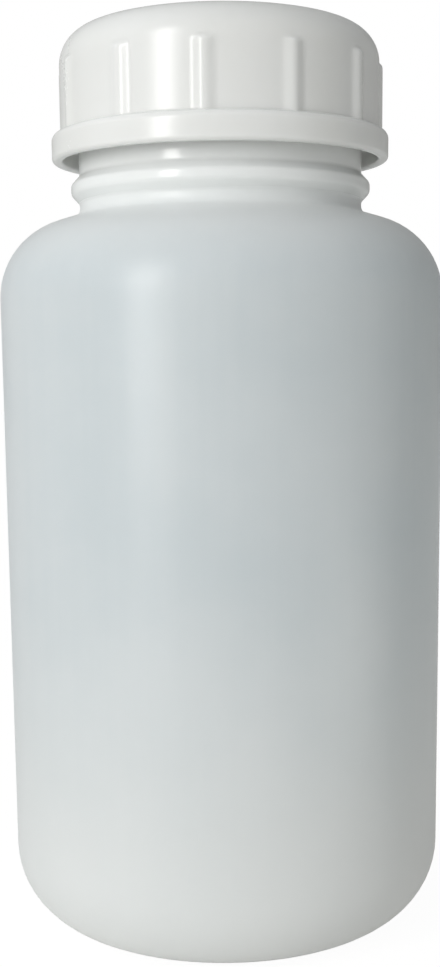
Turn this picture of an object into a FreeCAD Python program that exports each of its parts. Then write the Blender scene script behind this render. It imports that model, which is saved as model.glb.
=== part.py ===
# Wide-mouth plastic reagent bottle: a blow-moulded bottle, a plug seal and a ribbed screw cap.
# Millimetres, +Z up. The origin is the centre of the standing ring under the base.
import FreeCAD
import Part
import Sketcher
import math
import os

doc = FreeCAD.newDocument("ReagentBottle")

# Driving dimensions: alias, value, what it measures.
SIZES = [
    # bottle body
    ("body_diameter", 77.0, "outside of the straight wall"),
    ("wall_top", 112.0, "height where the straight wall ends and the shoulder starts"),
    ("wall", 1.3, "thickness of wall and shoulder"),
    ("base_corner", 15.0, "outside radius between wall and base"),
    ("floor_thickness", 1.8, "thickness of the base"),
    ("push_up", 3.0, "rise of the hollow under the base"),
    ("stand_width", 5.0, "width of the flat ring that the bottle stands on"),
    ("shoulder_radius", 13.5, "outside radius of the shoulder"),
    ("shoulder_slope", 17.0, "slope of the shoulder beside the neck, degrees"),
    # neck
    ("neck_diameter", 48.8, "outside of the neck between thread turns"),
    ("neck_wall", 1.9, "thickness of the neck"),
    ("neck_height", 25.05, "foot of the neck to the rim"),
    ("neck_fillet", 1.6, "hollow radius at the foot of the neck"),
    ("rim_round", 0.5, "rounding of the rim's two edges"),
    ("bead_depth", 1.45, "how far the neck bead stands out"),
    ("bead_width", 4.4, "height of the neck bead along the neck"),
    ("bead_lift", 4.2, "foot of the neck to the middle of the bead"),
    # thread
    ("thread_pitch", 5.0, "rise in one turn"),
    ("neck_turns", 1.5, "turns of thread on the neck"),
    ("cap_turns", 1.25, "turns of thread in the cap"),
    ("thread_depth", 1.2, "height of a thread ridge"),
    ("thread_root", 3.0, "width of a ridge at its foot"),
    ("thread_crest", 1.2, "width of a ridge at its crest"),
    ("thread_drop", 3.2, "rim to the upper end of the neck thread"),
    ("thread_gap", 0.25, "radial clearance over a thread crest"),
    ("thread_play", 0.15, "axial clearance between the flanks that pull the cap down"),
    ("thread_bite", 0.4, "how deep a ridge is rooted in its wall"),
    # screw cap
    ("cap_wall", 1.55, "thickness of the skirt"),
    ("cap_top", 2.6, "thickness of the top"),
    ("cap_edge", 6.0, "outside radius round the top"),
    ("cap_inner_edge", 1.5, "inside radius round the top"),
    ("cap_reach", 16.3, "rim to the lower edge of the skirt"),
    ("flange_height", 4.7, "height of the flange at the lower edge"),
    ("flange_step", 1.6, "how far the flange stands out from the skirt"),
    ("flange_wall", 1.8, "thickness of the flange"),
    ("flange_round", 0.7, "rounding under the flange"),
    ("rib_count", 12, "grip ribs round the skirt"),
    ("rib_width", 2.2, "width of a rib"),
    ("rib_depth", 0.8, "how far a rib stands out"),
    ("rib_slant", 1.0, "drop of a rib's slanting upper end"),
    ("rib_phase", -5.0, "angle of the first rib from +X, degrees"),
    ("keeper_height", 0.9, "height of the bead that keeps the plug in the cap"),
    ("keeper_bite", 0.3, "how far that bead reaches under the plug's flange"),
    ("keeper_gap", 0.2, "least gap from that bead up to the plug's flange"),
    ("keeper_land", 0.1, "least height of straight wall between that bead and the inside radius"),
    # sealing plug
    ("plug_flange", 2.9, "thickness of the flange that lies on the rim"),
    ("plug_side_gap", 0.65, "gap from the flange's edge to the cap's bore"),
    ("plug_edge", 0.35, "least height of the flange's upright edge under its chamfer"),
    ("plug_depth", 8.0, "rim to the underside of the cup"),
    ("plug_wall", 1.2, "thickness of the cup's side"),
    ("plug_floor", 1.0, "thickness of the cup's floor"),
    ("plug_slack", 0.45, "gap from the cup's side to the bore"),
    ("plug_lead", 0.6, "how far the foot of the cup tapers in"),
    ("plug_lead_height", 1.2, "height of that taper"),
    ("seal_width", 2.2, "height of the sealing bead round the cup"),
    ("seal_drop", 3.4, "rim to the middle of the sealing bead"),
    ("seal_clearance", 0.06, "gap from the sealing bead to the bore"),
    ("seat_gap", 0.05, "gap at the faces that the closed cap presses together"),
]

sheet = doc.addObject("Spreadsheet::Sheet", "Sizes")
for row, (alias, number, note) in enumerate(SIZES, start=1):
    sheet.set(f"A{row}", note)
    sheet.set(f"B{row}", str(number))
    sheet.setAlias(f"B{row}", alias)
doc.recompute()

# Derived sizes, written as expressions on the sheet.
size = {alias: f"Sizes.{alias}" for alias, _, _ in SIZES}


def add(name, text):
    """Names a derived size: a formula on sizes in braces that already have a name."""
    size[name] = "(" + text.format(**size) + ")"


add("body_r", "{body_diameter} / 2")
add("neck_r", "{neck_diameter} / 2")
add("bore_r", "{neck_r} - {neck_wall}")
add("corner_r", "{body_r} - {base_corner}")
add("stand_r", "{corner_r} - {stand_width}")

# The shoulder's arc turns from the upright wall to the slope.
# It is limited where a wide neck leaves it too little room.
add("turn", "90 - {shoulder_slope}")
add("fillet_run", "{neck_fillet} * tan({turn} / 2)")
add("shoulder_room", "({body_r} - {neck_r} - 2 * {fillet_run}) / (1 - cos({turn}))")
add("shoulder_arc", "min({shoulder_radius}; {shoulder_room})")
add("shoulder_inner_arc", "{shoulder_arc} - {wall}")
add("shoulder_axis_r", "{body_r} - {shoulder_arc}")
add("slope_r", "{shoulder_axis_r} + {shoulder_arc} * cos({turn})")
add("slope_z", "{wall_top} + {shoulder_arc} * sin({turn})")
add("foot_z", "{slope_z} + ({slope_r} - {neck_r}) * tan({shoulder_slope})")
add("fillet_r", "{neck_r} + {fillet_run} * cos({shoulder_slope})")
add("fillet_z", "{foot_z} - {fillet_run} * sin({shoulder_slope})")
add("slope_inner_r", "{shoulder_axis_r} + {shoulder_inner_arc} * cos({turn})")
add("slope_inner_z", "{wall_top} + {shoulder_inner_arc} * sin({turn})")
add("foot_inner_z", "{slope_inner_z} + ({slope_inner_r} - {bore_r}) * tan({shoulder_slope})")

add("rim_z", "{foot_z} + {neck_height}")
add("bead_z", "{foot_z} + {bead_lift}")
add("bead_arc", "(({bead_width} / 2)^2 + {bead_depth}^2) / (2 * {bead_depth})")
add("dome_arc", "({stand_r}^2 + {push_up}^2) / (2 * {push_up})")

# Thread: both ridges have the same flank angle and lie on one screw surface.
add("flank", "({thread_root} - {thread_crest}) / 2 / {thread_depth}")
add("neck_thread_z", "{rim_z} - {thread_drop} - {neck_turns} * {thread_pitch}")
add("thread_offset", "({thread_root} + {thread_crest}) / 2 - {flank} * {thread_gap} + {thread_play}")

# Cap: its bore clears the neck's thread, and its top lies on the plug's flange.
add("cap_bore_r", "{neck_r} + {thread_depth} + {thread_gap}")
add("cap_r", "{cap_bore_r} + {cap_wall}")
add("flange_r", "{cap_r} + {flange_step}")
add("flange_bore_r", "{flange_r} - {flange_wall}")
add("plug_flange_z", "{rim_z} + {seat_gap}")
add("cap_ceiling_z", "{plug_flange_z} + {plug_flange} + {seat_gap}")
add("cap_top_z", "{cap_ceiling_z} + {cap_top}")
add("cap_low_z", "{rim_z} - {cap_reach}")
add("flange_top_z", "{cap_low_z} + {flange_height}")
add("recess_z", "{flange_top_z} - {cap_wall}")
add("plug_flange_r", "{cap_bore_r} - {plug_side_gap}")
add("plug_chamfer", "min({cap_inner_edge} - {plug_side_gap}; {plug_flange} - {plug_edge})")
add("keeper_r", "{plug_flange_r} - {keeper_bite}")
add("keeper_room_z", "{cap_ceiling_z} - {cap_inner_edge} - {keeper_land}")
add("keeper_top_z", "min({plug_flange_z} - {keeper_gap}; {keeper_room_z})")
add("rib_top_z", "{cap_top_z} - {cap_edge}")

# Plug: a shallow cup in the neck's bore.
add("plug_r", "{bore_r} - {plug_slack}")
add("plug_low_z", "{rim_z} - {plug_depth}")
add("seal_z", "{rim_z} - {seal_drop}")
add("seal_depth", "{plug_slack} - {seal_clearance}")
add("seal_arc", "(({seal_width} / 2)^2 + {seal_depth}^2) / (2 * {seal_depth})")


def formula(text):
    """An expression on the sheet, from sizes named in braces."""
    return text.format(**size)


def value(text):
    """What such an expression amounts to now."""
    result = sheet.evalExpression(formula(text))
    return float(getattr(result, "Value", result))


def origin_plane(body, role):
    """One of the body's own origin planes."""
    return next(f for f in body.Origin.OriginFeatures if f.Role == role)


def arc_between(start, end, radius, bulge):
    """The shorter arc between two points, bulging to the left (1) or right (-1) of the way from start to end.

    It runs anticlockwise, so an arc that bulges to the left starts at the end point.
    """
    chord = end.sub(start)
    left = FreeCAD.Vector(-chord.y, chord.x, 0).normalize()
    centre = (start + end) / 2 - left * bulge * math.sqrt(max(radius**2 - (chord.Length / 2) ** 2, 0))
    first, last = (end, start) if bulge > 0 else (start, end)
    turn_from = math.atan2(first.y - centre.y, first.x - centre.x)
    turn_to = math.atan2(last.y - centre.y, last.x - centre.x)
    if turn_to < turn_from:
        turn_to += 2 * math.pi
    return Part.ArcOfCircle(Part.Circle(centre, FreeCAD.Vector(0, 0, 1), radius), turn_from, turn_to)


def outline_sketch(body, name, plane, outline):
    """A closed outline. Each corner is (across, up), or (across, up, radius, bulge) if an arc leads to it.

    Every corner is held by two distances from the axes, and every arc by its radius, all bound to the sheet.
    """
    sketch = body.newObject("Sketcher::SketchObject", name)
    sketch.AttachmentSupport = [(origin_plane(body, plane), "")]
    sketch.MapMode = "FlatFace"
    corners = [FreeCAD.Vector(value(corner[0]), value(corner[1]), 0) for corner in outline]
    ends = [1 if len(corner) == 4 and corner[3] > 0 else 2 for corner in outline]
    bound = []
    for i, corner in enumerate(outline):
        if len(corner) == 4:
            radius = value(corner[2])
            sketch.addGeometry(arc_between(corners[i - 1], corners[i], radius, corner[3]), False)
            at = sketch.addConstraint(Sketcher.Constraint("Radius", i, radius))
            bound.append((at, corner[2]))
        else:
            sketch.addGeometry(Part.LineSegment(corners[i - 1], corners[i]), False)
    for i, corner in enumerate(outline):
        after = (i + 1) % len(outline)
        sketch.addConstraint(Sketcher.Constraint("Coincident", i, ends[i], after, 3 - ends[after]))
        for kind, axis, text, place in (
            ("DistanceX", -2, corner[0], corners[i].x),
            ("DistanceY", -1, corner[1], corners[i].y),
        ):
            if text == "0":
                sketch.addConstraint(Sketcher.Constraint("PointOnObject", i, ends[i], axis))
            else:
                at = sketch.addConstraint(Sketcher.Constraint(kind, -1, 1, i, ends[i], place))
                bound.append((at, text))
    for at, text in bound:
        sketch.setExpression(f"Constraints[{at}]", formula(text))
    doc.recompute()
    return sketch


def new_body(name):
    """A body whose label names its file. Every piece is drawn where it sits on the closed bottle."""
    body = doc.addObject("PartDesign::Body", name)
    body.Label = name
    body.Placement = FreeCAD.Placement()
    return body


def revolve(body, name, outline):
    """Turns an outline about the bottle's axis."""
    sketch = outline_sketch(body, name + "_section", "XZ_Plane", outline)
    feature = body.newObject("PartDesign::Revolution", name)
    feature.Profile = sketch
    feature.ReferenceAxis = (sketch, ["V_Axis"])
    feature.Angle = 360
    doc.recompute()
    return feature


def ridge(body, name, plane, outline, turns):
    """Winds a thread ridge about the bottle's axis, starting in the given plane."""
    sketch = outline_sketch(body, name + "_section", plane, outline)
    feature = body.newObject("PartDesign::AdditiveHelix", name)
    feature.Profile = sketch
    feature.ReferenceAxis = (sketch, ["V_Axis"])
    feature.Mode = "pitch-turns-angle"
    feature.setExpression("Pitch", formula("{thread_pitch}"))
    feature.setExpression("Turns", formula(turns))
    doc.recompute()
    return feature


def make_bottle():
    """Base, wall, shoulder, neck, bead and rim in one turned wall, with the thread on the neck."""
    body = new_body("bottle")
    inner_corner = "{base_corner} - {wall}"
    revolve(body, "bottle_wall", [
        # outside, from the middle of the base upwards
        ("0", "{push_up}"),
        ("{stand_r}", "0", "{dome_arc}", 1),
        ("{corner_r}", "0"),
        ("{body_r}", "{base_corner}", "{base_corner}", -1),
        ("{body_r}", "{wall_top}"),
        ("{slope_r}", "{slope_z}", "{shoulder_arc}", -1),
        ("{fillet_r}", "{fillet_z}"),
        ("{neck_r}", "{foot_z} + {fillet_run}", "{neck_fillet}", 1),
        ("{neck_r}", "{bead_z} - {bead_width} / 2"),
        ("{neck_r}", "{bead_z} + {bead_width} / 2", "{bead_arc}", -1),
        ("{neck_r}", "{rim_z} - {rim_round}"),
        ("{neck_r} - {rim_round}", "{rim_z}", "{rim_round}", -1),
        # over the rim and down the inside
        ("{bore_r} + {rim_round}", "{rim_z}"),
        ("{bore_r}", "{rim_z} - {rim_round}", "{rim_round}", -1),
        ("{bore_r}", "{foot_inner_z}"),
        ("{slope_inner_r}", "{slope_inner_z}"),
        ("{body_r} - {wall}", "{wall_top}", "{shoulder_inner_arc}", 1),
        ("{body_r} - {wall}", "{floor_thickness} + " + inner_corner),
        ("{corner_r}", "{floor_thickness}", inner_corner, 1),
        ("{stand_r}", "{floor_thickness}"),
        ("0", "{push_up} + {floor_thickness}", "{dome_arc}", -1),
    ])
    ridge(body, "neck_thread", "XZ_Plane", [
        ("{neck_r} - {thread_bite}", "{neck_thread_z} - {thread_root} / 2 - {flank} * {thread_bite}"),
        ("{neck_r} + {thread_depth}", "{neck_thread_z} - {thread_crest} / 2"),
        ("{neck_r} + {thread_depth}", "{neck_thread_z} + {thread_crest} / 2"),
        ("{neck_r} - {thread_bite}", "{neck_thread_z} + {thread_root} / 2 + {flank} * {thread_bite}"),
    ], "{neck_turns}")
    return body


def make_screw_cap():
    """Top, skirt and flange in one turned shell, with the inner thread and the grip ribs."""
    body = new_body("screw_cap")
    revolve(body, "cap_shell", [
        # outside, from the middle of the top downwards
        ("0", "{cap_top_z}"),
        ("{cap_r} - {cap_edge}", "{cap_top_z}"),
        ("{cap_r}", "{cap_top_z} - {cap_edge}", "{cap_edge}", 1),
        ("{cap_r}", "{flange_top_z}"),
        ("{flange_r}", "{flange_top_z} - {flange_step}", "{flange_step}", 1),
        ("{flange_r}", "{cap_low_z} + {flange_round}"),
        ("{flange_r} - {flange_round}", "{cap_low_z}", "{flange_round}", 1),
        # under the flange and up the inside
        ("{flange_bore_r}", "{cap_low_z}"),
        ("{flange_bore_r}", "{recess_z} - ({flange_bore_r} - {cap_bore_r})"),
        ("{cap_bore_r}", "{recess_z}"),
        ("{cap_bore_r}", "{keeper_top_z} - {keeper_height} - ({cap_bore_r} - {keeper_r}) / 2"),
        ("{keeper_r}", "{keeper_top_z} - {keeper_height} / 2 - ({cap_bore_r} - {keeper_r}) / 4"),
        ("{cap_bore_r}", "{keeper_top_z}"),
        ("{cap_bore_r}", "{cap_ceiling_z} - {cap_inner_edge}"),
        ("{cap_bore_r} - {cap_inner_edge}", "{cap_ceiling_z}", "{cap_inner_edge}", -1),
        ("0", "{cap_ceiling_z}"),
    ])
    # The cap's thread starts a quarter turn after the neck's, and lies below it by the offset.
    start = "({neck_thread_z} + {thread_pitch} / 4 - {thread_offset})"
    ridge(body, "cap_thread", "YZ_Plane", [
        ("{cap_bore_r} + {thread_bite}", start + " - {thread_root} / 2 - {flank} * {thread_bite}"),
        ("{cap_bore_r} + {thread_bite}", start + " + {thread_root} / 2 + {flank} * {thread_bite}"),
        ("{cap_bore_r} - {thread_depth}", start + " + {thread_crest} / 2"),
        ("{cap_bore_r} - {thread_depth}", start + " - {thread_crest} / 2"),
    ], "{cap_turns}")
    add_ribs(body)
    return body


def add_ribs(body):
    """Grip ribs that rise from the flange to the start of the rounded top, and slant off at the upper end."""
    root = "({cap_bore_r} + {cap_wall} / 2)"
    low = "({flange_top_z} - {flange_step} / 2)"
    slant = "({rib_slant} / {rib_depth})"
    sketch = outline_sketch(body, "rib_section", "XZ_Plane", [
        (root, low),
        ("{cap_r} + {rib_depth}", low),
        ("{cap_r} + {rib_depth}", "{rib_top_z} - {rib_slant}"),
        (root, "{rib_top_z} + " + slant + " * ({cap_r} - " + root + ")"),
    ])
    turned = FreeCAD.Rotation(FreeCAD.Vector(0, 1, 0), value("{rib_phase}"))
    sketch.AttachmentOffset = FreeCAD.Placement(FreeCAD.Vector(), turned)
    rib = body.newObject("PartDesign::Pad", "rib")
    rib.Profile = sketch
    rib.SideType = "Symmetric"
    rib.setExpression("Length", formula("{rib_width}"))
    doc.recompute()
    ribs = body.newObject("PartDesign::PolarPattern", "ribs")
    ribs.Originals = [rib]
    ribs.Axis = (sketch, ["V_Axis"])
    ribs.Angle = 360
    ribs.setExpression("Occurrences", formula("{rib_count}"))
    body.Tip = ribs
    doc.recompute()


def make_sealing_plug():
    """A flange that lies on the rim and a shallow cup with a sealing bead that fills the bore."""
    body = new_body("sealing_plug")
    revolve(body, "plug_wall", [
        # outside, from the middle of the cup's floor upwards
        ("0", "{plug_low_z}"),
        ("{plug_r} - {plug_lead}", "{plug_low_z}"),
        ("{plug_r}", "{plug_low_z} + {plug_lead_height}"),
        ("{plug_r}", "{seal_z} - {seal_width} / 2"),
        ("{plug_r}", "{seal_z} + {seal_width} / 2", "{seal_arc}", -1),
        ("{plug_r}", "{plug_flange_z}"),
        ("{plug_flange_r}", "{plug_flange_z}"),
        ("{plug_flange_r}", "{plug_flange_z} + {plug_flange} - {plug_chamfer}"),
        ("{plug_flange_r} - {plug_chamfer}", "{plug_flange_z} + {plug_flange}"),
        # down the inside of the cup
        ("{plug_r} - {plug_wall}", "{plug_flange_z} + {plug_flange}"),
        ("{plug_r} - {plug_wall}", "{plug_low_z} + {plug_floor}"),
        ("0", "{plug_low_z} + {plug_floor}"),
    ])
    return body


def check(pieces):
    """Stops if a feature failed or a piece isn't one valid solid."""
    for item in doc.Objects:
        if "Invalid" in item.State or "Error" in item.State:
            raise RuntimeError(f"{item.Name} failed: {item.State}")
    for piece in pieces:
        shape = piece.Shape
        if shape.isNull() or not shape.isValid() or len(shape.Solids) != 1:
            raise RuntimeError(f"{piece.Label} isn't one valid solid")


pieces = [make_bottle(), make_sealing_plug(), make_screw_cap()]
doc.recompute()
check(pieces)
os.makedirs("parts", exist_ok=True)
for piece in pieces:
    piece.Shape.exportStep(f"parts/{piece.Label}.step")
    box = piece.Shape.optimalBoundingBox(False, False)
    volume = piece.Shape.Volume / 1000
    print(f"{piece.Label}: {volume:.2f} ml, {box.XLength:.2f} mm across, top at {box.ZMax:.2f} mm")
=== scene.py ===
# A wide-mouth reagent bottle with a screw cap and a sealing plug, dressed round its CAD frame.
import math

import bpy
from mathutils import Matrix, Vector


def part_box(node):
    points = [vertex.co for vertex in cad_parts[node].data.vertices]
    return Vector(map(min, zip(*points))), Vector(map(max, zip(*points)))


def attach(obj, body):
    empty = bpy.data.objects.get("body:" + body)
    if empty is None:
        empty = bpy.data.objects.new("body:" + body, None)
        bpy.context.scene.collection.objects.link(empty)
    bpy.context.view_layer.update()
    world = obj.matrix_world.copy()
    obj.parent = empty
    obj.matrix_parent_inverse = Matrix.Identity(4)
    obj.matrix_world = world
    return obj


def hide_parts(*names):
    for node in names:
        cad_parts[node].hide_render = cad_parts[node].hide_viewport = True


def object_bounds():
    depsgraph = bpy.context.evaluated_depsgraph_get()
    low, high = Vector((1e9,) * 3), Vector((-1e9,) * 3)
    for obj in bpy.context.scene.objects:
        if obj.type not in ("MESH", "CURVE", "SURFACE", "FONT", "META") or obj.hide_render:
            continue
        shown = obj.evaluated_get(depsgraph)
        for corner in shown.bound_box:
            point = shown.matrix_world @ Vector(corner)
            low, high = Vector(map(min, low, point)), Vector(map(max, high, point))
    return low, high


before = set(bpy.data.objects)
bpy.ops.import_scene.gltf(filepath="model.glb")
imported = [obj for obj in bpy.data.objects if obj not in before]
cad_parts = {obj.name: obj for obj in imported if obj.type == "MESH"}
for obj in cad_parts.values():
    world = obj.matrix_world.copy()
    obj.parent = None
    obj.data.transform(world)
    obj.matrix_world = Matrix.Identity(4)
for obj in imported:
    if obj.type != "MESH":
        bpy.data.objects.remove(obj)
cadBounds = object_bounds()
mm = 0.001
print("frame loaded", sorted(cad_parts))


def feed(tree, slot, item):
    if isinstance(item, Val):
        tree.links.new(item.socket, slot)
    else:
        slot.default_value = item


# A node socket that takes part in ordinary arithmetic.
class Val:
    def __init__(self, tree, socket=None):
        self.tree = tree
        self.socket = socket

    def node(self, kind, inputs, output=0, **settings):
        made = self.tree.nodes.new(kind)
        for name, setting in settings.items():
            setattr(made, name, setting)
        for name, item in inputs.items():
            feed(self.tree, made.inputs[name], item)
        return Val(self.tree, made.outputs[output])

    def math(self, operation, first, second=0.0, third=0.0):
        return self.node("ShaderNodeMath", {0: first, 1: second, 2: third}, operation=operation)

    def ease(self, low, high, start=0.0, end=1.0):
        span = {"Value": self, "From Min": low, "From Max": high, "To Min": start, "To Max": end}
        return self.node("ShaderNodeMapRange", span, interpolation_type="SMOOTHSTEP")

    def parts(self):
        split = self.tree.nodes.new("ShaderNodeSeparateXYZ")
        feed(self.tree, split.inputs[0], self)
        return [Val(self.tree, side) for side in split.outputs]

    def __add__(self, other):
        return self.math("ADD", self, other)

    def __radd__(self, other):
        return self.math("ADD", other, self)

    def __sub__(self, other):
        return self.math("SUBTRACT", self, other)

    def __rsub__(self, other):
        return self.math("SUBTRACT", other, self)

    def __mul__(self, other):
        return self.math("MULTIPLY", self, other)

    def __rmul__(self, other):
        return self.math("MULTIPLY", other, self)

    def __truediv__(self, other):
        return self.math("DIVIDE", self, other)

    def __rtruediv__(self, other):
        return self.math("DIVIDE", other, self)

    def __abs__(self):
        return self.math("ABSOLUTE", self)


# Outline through corners (r, z, fillet, step), in mm: straight runs are cut at each step.
def outline(corners):
    filletStep = 6  # degrees
    points = [(corners[0][0], corners[0][1])]

    def goTo(r, z, step):
        r0, z0 = points[-1]
        count = math.ceil(math.hypot(r - r0, z - z0) / step - 1e-6)
        for i in range(1, count + 1):
            points.append((r0 + (r - r0) * i / count, z0 + (z - z0) * i / count))

    for before, corner, after in zip(corners, corners[1:], corners[2:] + [None]):
        here = Vector(corner[:2])
        if after is None or corner[2] == 0:
            goTo(here.x, here.y, corner[3])
            continue
        arrive = (Vector(before[:2]) - here).normalized()
        leave = (Vector(after[:2]) - here).normalized()
        bend = math.pi - arrive.angle(leave)
        reach = corner[2] * math.tan(bend / 2)
        centre = here + (arrive + leave).normalized() * corner[2] / math.cos(bend / 2)
        start = here + arrive * reach
        turned = math.copysign(bend, arrive.x * leave.y - arrive.y * leave.x)
        goTo(start.x, start.y, corner[3])
        steps = max(3, math.ceil(math.degrees(bend) / filletStep))
        spoke = start - centre
        for i in range(1, steps + 1):
            a = -turned * i / steps
            r = centre.x + spoke.x * math.cos(a) - spoke.y * math.sin(a)
            z = centre.y + spoke.x * math.sin(a) + spoke.y * math.cos(a)
            points.append((r, z))
    return points


# One node tree turns an outline into a closed shell, raises upright ridges and winds a thread round it.
def makeTurnedShell():
    softness = 0.35  # rounding of a ridge's edges, as a share of its depth
    fade = 0.12  # turns over which the thread runs out at each end
    weld = 2e-6
    tree = bpy.data.node_groups.new("turnedShell", "GeometryNodeTree")
    ids = {}
    sockets = {
        "Outline": "NodeSocketGeometry",
        "Columns": "NodeSocketInt",
        "Ridges": "NodeSocketInt",
        "Ridge Depth": "NodeSocketFloat",
        "Ridge Half Width": "NodeSocketFloat",
        "Ridge Flank": "NodeSocketFloat",
        "Ridge Phase": "NodeSocketFloat",
        "Crowding": "NodeSocketFloat",
        "Thread Depth": "NodeSocketFloat",
        "Thread Start": "NodeSocketFloat",
        "Thread Angle": "NodeSocketFloat",
        "Thread Pitch": "NodeSocketFloat",
        "Thread Turns": "NodeSocketFloat",
        "Thread Root": "NodeSocketFloat",
        "Thread Crest": "NodeSocketFloat",
        "Finish": "NodeSocketMaterial",
    }
    for name, kind in sockets.items():
        ids[name] = tree.interface.new_socket(name=name, in_out="INPUT", socket_type=kind).identifier
    tree.interface.new_socket(name="Shell", in_out="OUTPUT", socket_type="NodeSocketGeometry")
    entry = tree.nodes.new("NodeGroupInput")
    leave = tree.nodes.new("NodeGroupOutput")
    given = {name: Val(tree, entry.outputs[name]) for name in sockets}
    tool = Val(tree)
    profile = given["Outline"]
    rows = tool.node("GeometryNodeAttributeDomainSize", {0: profile}, "Point Count", component="MESH")
    columns = given["Columns"]
    sides = {"Size X": 1.0, "Size Y": 1.0, "Vertices X": columns + 1, "Vertices Y": rows}
    grid = tool.node("GeometryNodeMeshGrid", sides, "Mesh")
    index = tool.node("GeometryNodeInputIndex", {})
    column = tool.math("FLOOR", (index + 0.5) / rows)
    row = index - column * rows

    def sample(kind, source):
        found = {"Geometry": profile, "Value": source, "Index": row}
        return tool.node("GeometryNodeSampleIndex", found, data_type=kind, domain="POINT")

    def attribute(name):
        named = tool.node("GeometryNodeInputNamedAttribute", {"Name": name}, data_type="FLOAT")
        return sample("FLOAT", named)

    radius, _, height = sample("FLOAT_VECTOR", tool.node("GeometryNodeInputPosition", {})).parts()
    # Columns crowd towards the middle of each sector, where its ridge stands.
    sector = 2 * math.pi / given["Ridges"]
    place = column * given["Ridges"] / columns
    whole = tool.math("FLOOR", place + 1e-4)
    side = place - whole - 0.5
    crowding = given["Crowding"]
    swing = side * (crowding + (1 - crowding) * 4 * side * side)
    angle = given["Ridge Phase"] + sector * (whole + swing)
    away = abs(swing) * sector * radius
    inner = given["Ridge Half Width"] - given["Ridge Flank"] / 2
    flat = 1 - (away - inner) / given["Ridge Flank"]
    ridge = tool.math("SMOOTH_MAX", flat, 0.0, softness)
    ridge = tool.math("SMOOTH_MIN", ridge, 1.0, softness)
    turns = (angle - given["Thread Angle"]) / (2 * math.pi)
    climb = (height - given["Thread Start"]) / given["Thread Pitch"] - turns
    lap = tool.math("ROUND", climb)
    offLine = abs(climb - lap) * given["Thread Pitch"]
    along = turns + lap
    flank = offLine.ease(given["Thread Crest"] / 2, given["Thread Root"] / 2, 1.0, 0.0)
    fadeIn = along.ease(0.0, fade)
    fadeOut = (given["Thread Turns"] - along).ease(0.0, fade)
    thread = flank * fadeIn * fadeOut
    raised = given["Ridge Depth"] * attribute("ridge") * ridge
    wound = given["Thread Depth"] * attribute("thread") * thread
    reach = radius + raised + wound
    spot = {0: reach * tool.math("COSINE", angle), 1: reach * tool.math("SINE", angle), 2: height}
    moved = {"Geometry": grid, "Position": tool.node("ShaderNodeCombineXYZ", spot)}
    shell = tool.node("GeometryNodeSetPosition", moved)
    shell = tool.node("GeometryNodeMergeByDistance", {"Geometry": shell, "Distance": weld})
    shell = tool.node("GeometryNodeSetShadeSmooth", {"Geometry": shell})
    shell = tool.node("GeometryNodeRealizeInstances", {"Geometry": shell})
    shell = tool.node("GeometryNodeSetMaterial", {"Geometry": shell, "Material": given["Finish"]})
    feed(tree, leave.inputs[0], shell)
    return tree, ids


turnedShell, shellInputs = makeTurnedShell()
slack = 0.01  # mm, for telling which points lie on a cylinder
# The neck and the cap share one form of thread.
threadForm = {"Thread Pitch": 5 * mm, "Thread Root": 3 * mm, "Thread Crest": 1.2 * mm}


def turnPiece(name, points, ridge, thread, settings):
    mesh = bpy.data.meshes.new(name)
    mesh.from_pydata([(r * mm, 0, z * mm) for r, z in points], [], [])
    for key, weights in (("ridge", ridge), ("thread", thread)):
        mesh.attributes.new(key, "FLOAT", "POINT").data.foreach_set("value", weights)
    piece = bpy.data.objects.new(name, mesh)
    bpy.context.scene.collection.objects.link(piece)
    modifier = piece.modifiers.new("turnedShell", "NODES")
    modifier.node_group = turnedShell
    for key, setting in settings.items():
        modifier[shellInputs[key]] = setting
    graph = bpy.context.evaluated_depsgraph_get()
    piece.data = bpy.data.meshes.new_from_object(piece.evaluated_get(graph))
    piece.modifiers.clear()
    return piece


def newMaterial(name):
    material = bpy.data.materials.new(name)
    material.use_nodes = True
    shader = material.node_tree.nodes["Principled BSDF"]
    return material, shader, Val(material.node_tree)


def stretched(tool, across, upright):
    spot = tool.node("ShaderNodeTexCoord", {}, "Object")
    return tool.node("ShaderNodeMapping", {"Vector": spot, "Scale": (across, across, upright)})


def noise(tool, spot, scale, detail=2.0):
    return tool.node("ShaderNodeTexNoise", {"Vector": spot, "Scale": scale, "Detail": detail}, 0)


def blend(tool, factor, first, second):
    return tool.node("ShaderNodeMix", {"Factor": factor, 6: first, 7: second}, 2, data_type="RGBA")


def tint(tool, factor, first, second):
    return blend(tool, factor, (*first, 1), (*second, 1))


# 1 where a ray shows the white background, a share of it where the plastic mirrors it, 0 where a ray lights.
def seenPath(tool):
    glossShare = 0.3
    path = tool.tree.nodes.new("ShaderNodeLightPath")
    camera = Val(tool.tree, path.outputs["Is Camera Ray"])
    clear = Val(tool.tree, path.outputs["Is Transmission Ray"])
    gloss = Val(tool.tree, path.outputs["Is Glossy Ray"])
    return tool.math("MAXIMUM", tool.math("MAXIMUM", camera, clear), gloss * glossShare)


def bump(tool, height, strength, distance):
    return tool.node("ShaderNodeBump", {"Height": height, "Strength": strength, "Distance": distance})


def wear(shader, inputs):
    tree = shader.id_data
    plastic = {"IOR": 1.5, "Subsurface Radius": (1.0, 1.0, 1.0)}
    for key, item in {**plastic, **inputs}.items():
        feed(tree, shader.inputs[key], item)


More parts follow.
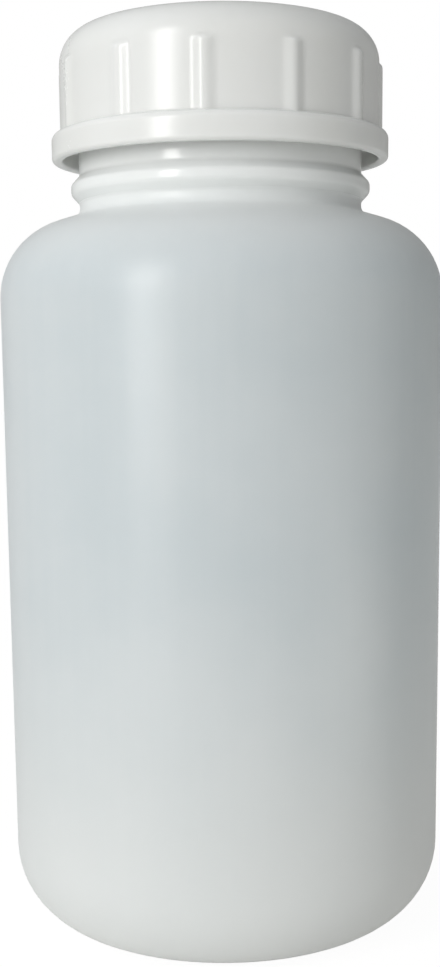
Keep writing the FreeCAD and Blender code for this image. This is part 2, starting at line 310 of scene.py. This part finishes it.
# Milky blow-moulded polyethylene: soft clouds, faint upright flow lines, satin grain and a few specks.
def makePolyethylene():
    material, shader, tool = newMaterial("polyethylene")
    look = {
        "clear": (0.625, 0.675, 0.695),
        "cloudy": (0.675, 0.715, 0.73),
        # partly the thicker plastic, partly painted light standing in for the floor's bounce
        "base": (0.845, 0.85, 0.83),
        # partly the thicker plastic, partly painted light against the shade under the cap's flange
        "neck": (0.88, 0.895, 0.885),
        "speck": (0.16, 0.15, 0.13),
        "roughness": 0.34,
        "neckGloss": 0.16,
        "cloudScale": 38,
        "flowScale": (420, 9),
        "grainScale": 900,
        "speckScale": 60.0,
        "baseSpan": (0.0, 0.075),  # heights in metres
        "neckSpan": (0.114, 0.131),
        "glossSpan": (0.1275, 0.1295),
    }
    even = stretched(tool, 1, 1)
    clouds = noise(tool, even, look["cloudScale"], 3)
    flow = noise(tool, stretched(tool, *look["flowScale"]), 1, 2)
    grain = noise(tool, even, look["grainScale"], 2)
    colour = tint(tool, (clouds * 0.85 + flow * 0.15).ease(0.3, 0.7), look["clear"], look["cloudy"])
    up = even.parts()[2]
    # Lighter towards the base: partly the thicker plastic there, partly painted light standing in for light
    # bounced up from the floor.
    colour = blend(tool, up.ease(*look["baseSpan"], 0.75, 0.0), colour, (*look["base"], 1))
    # Lighter neck: partly the thicker plastic there, partly painted light that lifts the shade under the
    # cap's flange.
    colour = blend(tool, up.ease(*look["neckSpan"]), colour, (*look["neck"], 1))
    cell = {"Vector": even, "Scale": look["speckScale"], "Randomness": 1.0}
    near = tool.node("ShaderNodeTexVoronoi", cell, "Distance")
    pick = tool.node("ShaderNodeTexVoronoi", cell, "Color")
    rare = pick.parts()[0].ease(0.955, 0.965)
    speck = near.ease(0.012, 0.02, 1.0, 0.0) * rare
    colour = blend(tool, speck, colour, (*look["speck"], 1))
    roughness = look["roughness"] + (clouds - 0.5) * 0.12 + (grain - 0.5) * 0.015
    wear(shader, {
        "Base Color": colour,
        "Roughness": roughness - up.ease(*look["glossSpan"]) * look["neckGloss"],
        "Normal": bump(tool, clouds + flow * 0.05, 0.12, 0.0001),
        "Subsurface Weight": 0.5,
        "Subsurface Scale": 0.002,
    })
    return material


# Injection-moulded cap: glossy and white with a slight ripple, and dulled a little by handling.
def makeCapPlastic():
    material, shader, tool = newMaterial("capPlastic")
    look = {"clean": (0.84, 0.84, 0.825), "handled": (0.815, 0.815, 0.795), "roughness": 0.25}
    even = stretched(tool, 1, 1)
    ripple = noise(tool, even, 120, 2)
    smear = noise(tool, stretched(tool, 1, 0.5), 55, 1)
    grain = noise(tool, even, 1800, 1)
    wear(shader, {
        "Base Color": tint(tool, smear.ease(0.4, 0.7), look["clean"], look["handled"]),
        "Roughness": look["roughness"] + (smear - 0.5) * 0.1 + (grain - 0.5) * 0.01,
        "Normal": bump(tool, ripple, 0.08, 0.0001),
        "Subsurface Weight": 1.0,
        "Subsurface Scale": 0.001,
    })
    return material


# Soft seal: waxy low-density polyethylene with a dull sheen and fine turning marks.
def makeSealPlastic():
    material, shader, tool = newMaterial("sealPlastic")
    look = {"pale": (0.74, 0.755, 0.75), "deep": (0.66, 0.685, 0.69), "roughness": 0.46}
    even = stretched(tool, 1, 1)
    clouds = noise(tool, even, 70, 3)
    grain = noise(tool, even, 1500, 2)
    east, north, _ = even.parts()
    rings = tool.math("SINE", tool.math("SQRT", east * east + north * north) * 9000)
    wear(shader, {
        "Base Color": tint(tool, clouds.ease(0.35, 0.65), look["pale"], look["deep"]),
        "Roughness": look["roughness"] + (clouds - 0.5) * 0.2,
        "Normal": bump(tool, grain * 0.6 + rings * 0.12, 0.25, 0.00008),
        "Subsurface Weight": 0.25,
        "Subsurface Scale": 0.002,
    })
    return material


def sizeOf(node):
    low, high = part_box(node)
    return high.x / mm, low.z / mm, high.z / mm


def ramp(value, low, high):
    return min(1.0, max(0.0, (value - low) / (high - low)))


def makeBottle():
    bodyR, floorZ, rimZ = sizeOf("bottle")
    size = {  # mm
        "wallTop": 112.0,
        "wall": 1.3,
        "baseCorner": 15.0,
        "floor": 1.8,
        "pushUp": 3.0,
        "pushUpRound": 60,
        "standInner": 20.0,
        "standRound": 1.5,
        "shoulder": 13.5,
        "slope": math.radians(17),
        "neckFillet": 1.6,
        "neckR": 24.4,
        "boreR": 22.5,
        "boreFillet": 1.5,
        "rimRound": 0.5,
        "rimBand": 1.2,
        "beadR": 25.85,
        "beadDrop": 20.85,
        "beadHalf": 2.3,
        "beadFlat": 0.75,
        "beadRound": 1.1,
        "beadFillet": 0.9,
        "threadDrop": 10.7,
        "threadBelow": 2.2,
        "threadDepth": 1.15,
        "threadTurns": 1.5,
        "seamDepth": 0.05,
        "seamWidth": 0.44,
        "seamFlank": 0.3,
        "seamPhase": math.radians(5),
        "seamRise": (4, 9),
        "seamFade": 3,
    }
    wall, neckR, boreR = size["wall"], size["neckR"], size["boreR"]
    slope = math.tan(size["slope"])
    lean = math.tan((math.pi / 2 - size["slope"]) / 2)
    crownZ = size["wallTop"] + size["shoulder"] * lean
    footZ = crownZ + (bodyR - neckR) * slope
    innerR = bodyR - wall
    innerArc = size["shoulder"] - wall
    innerCrownZ = size["wallTop"] + innerArc * lean
    innerFootZ = innerCrownZ + (innerR - boreR) * slope
    innerFloor = floorZ + size["floor"]
    beadZ, half, flat = rimZ - size["beadDrop"], size["beadHalf"], size["beadFlat"]
    threadZ = rimZ - size["threadDrop"]
    threadFrom = threadZ - size["threadBelow"]
    points = outline([
        (0, size["pushUp"], 0, 1),
        (size["standInner"] / 2, size["pushUp"], size["pushUpRound"], 2),
        (size["standInner"], 0, size["standRound"], 2),
        (bodyR, 0, size["baseCorner"], 2),
        (bodyR, crownZ, size["shoulder"], 2.0),
        (neckR, footZ, size["neckFillet"], 0.4),
        (neckR, beadZ - half, size["beadFillet"], 0.5),
        (size["beadR"], beadZ - flat, size["beadRound"], 0.3),
        (size["beadR"], beadZ + flat, size["beadRound"], 0.3),
        (neckR, beadZ + half, size["beadFillet"], 0.3),
        (neckR, threadFrom, 0, 1.0),
        (neckR, rimZ - size["rimBand"], 0, 0.25),
        (neckR, rimZ, size["rimRound"], 0.25),
        (boreR, rimZ, size["rimRound"], 0.4),
        (boreR, innerFootZ, size["boreFillet"], 2),
        (innerR, innerCrownZ, innerArc, 2),
        (innerR, innerFloor, size["baseCorner"] - wall, 4),
        (size["standInner"] + 1, innerFloor, 2, 2),
        (size["standInner"] / 2, innerFloor + size["pushUp"], size["pushUpRound"], 3),
        (0, innerFloor + size["pushUp"], 0, 2),
    ])
    top = max(range(len(points)), key=lambda i: points[i][1])

    def seamWeight(i, z):
        return ramp(z, *size["seamRise"]) * ramp(footZ - z, 0, size["seamFade"]) * (i < top)

    seam = [seamWeight(i, z) for i, (r, z) in enumerate(points)]
    thread = [float(abs(r - neckR) < slack and z > threadFrom - slack) for r, z in points]
    piece = turnPiece("bottleShell", points, seam, thread, {
        "Columns": 208,
        "Ridges": 2,
        "Ridge Depth": size["seamDepth"] * mm,
        "Ridge Half Width": size["seamWidth"] / 2 * mm,
        "Ridge Flank": size["seamFlank"] * mm,
        "Ridge Phase": size["seamPhase"],
        "Crowding": 0.16,
        "Thread Depth": size["threadDepth"] * mm,
        "Thread Start": threadZ * mm,
        "Thread Angle": 0.0,
        "Thread Turns": size["threadTurns"],
        **threadForm,
        "Finish": makePolyethylene(),
    })
    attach(piece, "bottle")
    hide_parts("bottle")
    return piece


def makeCap():
    flangeR, lowZ, topZ = sizeOf("screw_cap")
    size = {  # mm
        "flangeStep": 1.6,
        "flangeHeight": 4.7,
        "flangeWall": 1.8,
        "flangeEdge": 0.7,
        "ledge": 0.35,
        "wall": 1.55,
        "top": 2.6,
        "edge": 6.0,
        "innerEdge": 1.5,
        "recess": 3.15,
        "keeperR": 24.9,
        "keeperDrop": 3.2,
        "keeperHalf": 0.45,
        "ribs": 12,
        "ribWidth": 2.2,
        "ribDepth": 0.55,
        "ribFlank": 1.5,
        "ribDrop": 6.0,
        "ribEnd": 0.9,
        "ribPhase": math.radians(-5),
        "threadStart": 4.788,
        "threadTurns": 1.25,
        "threadBelow": 1.3,
        "threadAbove": 1.6,
        "threadDepth": 1.15,
    }
    capR = flangeR - size["flangeStep"]
    boreR = capR - size["wall"]
    recessR = flangeR - size["flangeWall"]
    flangeZ = lowZ + size["flangeHeight"]
    recessZ = lowZ + size["recess"]
    ceilingZ = topZ - size["top"]
    keeperZ = ceilingZ - size["keeperDrop"]
    ribTop = topZ - size["ribDrop"]
    threadZ = lowZ + size["threadStart"]
    threadFrom = threadZ - size["threadBelow"]
    threadTo = threadZ + size["threadTurns"] * threadForm["Thread Pitch"] / mm + size["threadAbove"]
    points = outline([
        (0, ceilingZ, 0, 3),
        (boreR, ceilingZ, size["innerEdge"], 3),
        (boreR, keeperZ, 0.2, 0.5),
        (size["keeperR"], keeperZ - size["keeperHalf"], 0.25, 0.4),
        (boreR, keeperZ - 2 * size["keeperHalf"], 0.2, 0.4),
        (boreR, threadTo, 0, 1.0),
        (boreR, threadFrom, 0, 0.3),
        (boreR, recessZ, 0.3, 0.5),
        (recessR, recessZ, 0.3, 0.5),
        (recessR, lowZ, 0.5, 1.0),
        (flangeR, lowZ, size["flangeEdge"], 0.5),
        (flangeR, flangeZ, size["flangeStep"] - size["ledge"], 0.8),
        (capR, flangeZ, size["ledge"], 0.3),
        (capR, ribTop - 2, 0, 0.7),
        (capR, topZ, size["edge"], 0.35),
        (0, topZ, 0, 1.5),
    ])
    low = min(range(len(points)), key=lambda i: points[i][1])

    def ribWeight(i, r, z):
        if i < low or z > ribTop or z < flangeZ - size["flangeStep"]:
            return 0.0
        ended = ramp(z, ribTop - size["ribEnd"], ribTop)
        return math.sqrt(1 - ended * ended) * ramp(capR + size["ribDepth"] - r, 0, size["ribDepth"])

    ribs = [ribWeight(i, r, z) for i, (r, z) in enumerate(points)]

    def threadWeight(r, z):
        return float(abs(r - boreR) < slack and threadFrom - slack < z < threadTo + slack)

    thread = [threadWeight(r, z) for r, z in points]
    piece = turnPiece("capShell", points, ribs, thread, {
        "Columns": 30 * size["ribs"],
        "Ridges": size["ribs"],
        "Ridge Depth": size["ribDepth"] * mm,
        "Ridge Half Width": size["ribWidth"] / 2 * mm,
        "Ridge Flank": size["ribFlank"] * mm,
        "Ridge Phase": size["ribPhase"],
        "Crowding": 0.3,
        "Thread Depth": -size["threadDepth"] * mm,
        "Thread Start": threadZ * mm,
        "Thread Angle": math.radians(90),
        "Thread Turns": size["threadTurns"],
        **threadForm,
        "Finish": makeCapPlastic(),
    })
    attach(piece, "cap")
    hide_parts("screw_cap")
    return piece


def makePlug():
    flangeR, lowZ, topZ = sizeOf("sealing_plug")
    size = {  # mm
        "flange": 2.9,
        "chamfer": 0.85,
        "plugR": 22.05,
        "wall": 1.2,
        "floor": 1.0,
        "lead": 0.6,
        "leadHeight": 1.2,
        "sealR": 22.43,
        "sealRise": 4.6,
        "sealHalf": 1.1,
        "sealFlat": 0.3,
    }
    plugR, cupR = size["plugR"], size["plugR"] - size["wall"]
    flangeZ = topZ - size["flange"]
    cupZ = lowZ + size["floor"]
    sealZ = lowZ + size["sealRise"]
    points = outline([
        (0, lowZ, 0, 3),
        (plugR - size["lead"], lowZ, 0.4, 2),
        (plugR, lowZ + size["leadHeight"], 0.6, 0.5),
        (plugR, sealZ - size["sealHalf"], 0.5, 0.8),
        (size["sealR"], sealZ - size["sealFlat"], 0.7, 0.3),
        (size["sealR"], sealZ + size["sealFlat"], 0.7, 0.3),
        (plugR, sealZ + size["sealHalf"], 0.5, 0.3),
        (plugR, flangeZ, 0.3, 0.8),
        (flangeR, flangeZ, 0.3, 0.8),
        (flangeR, topZ - size["chamfer"], 0.3, 0.4),
        (flangeR - size["chamfer"], topZ, 0.3, 0.4),
        (cupR, topZ, 0.5, 1.0),
        (cupR, cupZ, 1.2, 1.0),
        (0, cupZ, 0, 2.0),
    ])
    # Plain all over: the ridge and thread sizes only keep the tree's divisions whole.
    plain = [0.0] * len(points)
    piece = turnPiece("plugShell", points, plain, plain, {
        "Columns": 160,
        "Ridges": 1,
        "Ridge Depth": 0.0,
        "Ridge Half Width": 1 * mm,
        "Ridge Flank": 1 * mm,
        "Ridge Phase": 0.0,
        "Crowding": 1.0,
        "Thread Depth": 0.0,
        "Thread Start": 0.0,
        "Thread Angle": 0.0,
        "Thread Turns": 0.0,
        **threadForm,
        "Finish": makeSealPlastic(),
    })
    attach(piece, "plug")
    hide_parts("sealing_plug")
    return piece


for make in (makeBottle, makeCap, makePlug):
    made = make()
    print(made.name, len(made.data.polygons), "faces")


# White sweep: white to the eye of the camera, plain matt white to the light.
def makeFloor():
    sweep = {"half": 3.0, "drop": 0.2, "matt": (0.92, 0.91, 0.89, 1), "glow": 1.06, "whiteShare": 0.9}
    half = sweep["half"]
    mesh = bpy.data.meshes.new("floor")
    corners = [(-half, -half, 0), (half, -half, 0), (half, half, 0), (-half, half, 0)]
    mesh.from_pydata(corners, [], [(0, 1, 2, 3)])
    floor = bpy.data.objects.new("floor", mesh)
    bpy.context.scene.collection.objects.link(floor)
    floor.location.z = cadBounds[0].z - sweep["drop"] * mm
    material, shader, tool = newMaterial("floorWhite")
    matt = tool.node("ShaderNodeBsdfDiffuse", {"Color": sweep["matt"]})
    glow = tool.node("ShaderNodeEmission", {"Color": (1, 1, 1, 1), "Strength": sweep["glow"]})
    mixed = tool.node("ShaderNodeMixShader", {0: seenPath(tool) * sweep["whiteShare"], 1: matt, 2: glow})
    feed(material.node_tree, material.node_tree.nodes["Material Output"].inputs["Surface"], mixed)
    material.node_tree.nodes.remove(shader)
    mesh.materials.append(material)


# Daylight from the front left that falls off to a dim room behind on the right.
def makeWorld():
    light = {"window": (0.66, 0.685, 0.70), "room": (0.08, 0.078, 0.07), "span": (-0.65, 0.7)}
    world = bpy.data.worlds.new("studio")
    world.use_nodes = True
    bpy.context.scene.world = world
    tool = Val(world.node_tree)
    east, north, up = tool.node("ShaderNodeTexCoord", {}, "Generated").parts()
    depth = (east * 0.7 + north * 0.65 - up * 0.1).ease(*light["span"])
    shade = tint(tool, depth, light["window"], light["room"])
    colour = blend(tool, seenPath(tool), shade, (1, 1, 1, 1))
    feed(world.node_tree, world.node_tree.nodes["Background"].inputs["Color"], colour)


def makeLamp(name, size, energy, colour, azimuth, elevation, distance):
    data = bpy.data.lights.new(name, "AREA")
    data.shape = "ELLIPSE"
    data.size, data.size_y = size
    data.energy = energy
    data.color = colour
    lamp = bpy.data.objects.new(name, data)
    bpy.context.scene.collection.objects.link(lamp)
    turn, lift = math.radians(azimuth), math.radians(elevation)
    away = Vector((math.sin(turn) * math.cos(lift), -math.cos(turn) * math.cos(lift), math.sin(lift)))
    aim = Vector((0, 0, 100 * mm))
    lamp.location = aim + away * distance
    lamp.rotation_euler = away.to_track_quat("Z", "Y").to_euler()


# At two thirds of the bottle's height and tilted down a little, close enough for strong perspective.
def makeCamera():
    view = {
        "distance": 266.9,
        "height": 100.8,
        "pitch": math.radians(9.1),
        "roll": math.radians(-0.57),
        "lens": 55.36,
        "shift": (-0.0047, 0.1225),
    }
    data = bpy.data.cameras.new("camera")
    data.lens = view["lens"]
    data.sensor_width = 36
    data.shift_x, data.shift_y = view["shift"]
    data.clip_start = 0.01
    camera = bpy.data.objects.new("camera", data)
    bpy.context.scene.collection.objects.link(camera)
    level = Vector((0, math.sin(view["pitch"]), math.cos(view["pitch"])))
    right = Vector((1, 0, 0)) * math.cos(view["roll"]) + level * math.sin(view["roll"])
    up = level * math.cos(view["roll"]) - Vector((1, 0, 0)) * math.sin(view["roll"])
    turn = Matrix((right, up, right.cross(up))).transposed()
    spot = Vector((0, -view["distance"] * mm, view["height"] * mm))
    camera.matrix_world = Matrix.Translation(spot) @ turn.to_4x4()
    bpy.context.scene.camera = camera


makeFloor()
makeWorld()
makeLamp("key", size=(0.26, 0.9), energy=5.8, colour=(1.0, 0.99, 0.97),
         azimuth=-38, elevation=16, distance=1.2)
makeLamp("card", size=(0.10, 0.05), energy=0.018, colour=(1.0, 0.96, 0.88),
         azimuth=58, elevation=-20, distance=0.2)
makeCamera()
bpy.context.scene.view_settings.view_transform = "Standard"
print("stage, lamps and camera made")
